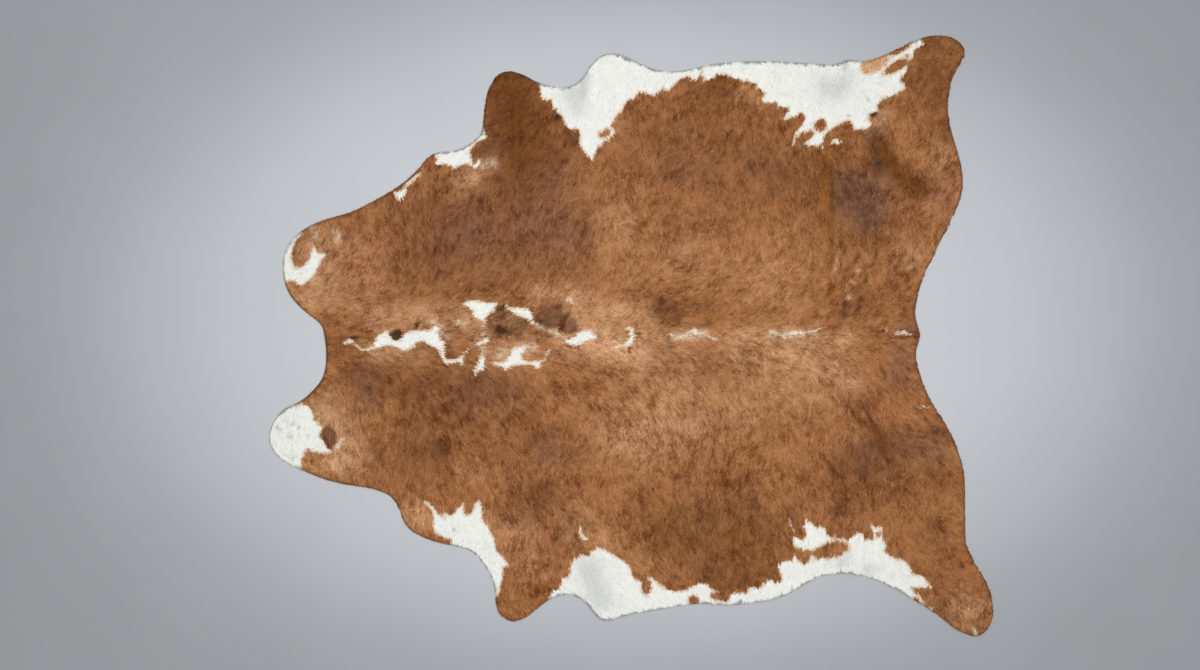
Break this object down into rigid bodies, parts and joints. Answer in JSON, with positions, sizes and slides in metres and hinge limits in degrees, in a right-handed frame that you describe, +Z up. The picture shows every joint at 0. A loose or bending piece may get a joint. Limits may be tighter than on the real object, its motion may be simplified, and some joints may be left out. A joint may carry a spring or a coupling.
{
  "type": "cowhide rug",
  "caption": "Flat, natural-shaped cowhide rug lying hair side up, with rounded neck and leg lobes, gently curved belly edges and soft low folds along the spine and flanks.",
  "frame": {"origin": "centre of the hide's bounding box, on the floor plane under it", "axes": "+X along the spine from the neck to the tail, +Y towards the right flank, +Z up from the floor through the hair side"},
  "size_m": [2.206, 1.83, 0.0111],
  "materials": {
    "hair_coat": "matte",
    "suede_back": "matte"
  },
  "bodies": {
    "root": {"hide": "hair_coat"}
  },
  "joints": []
}
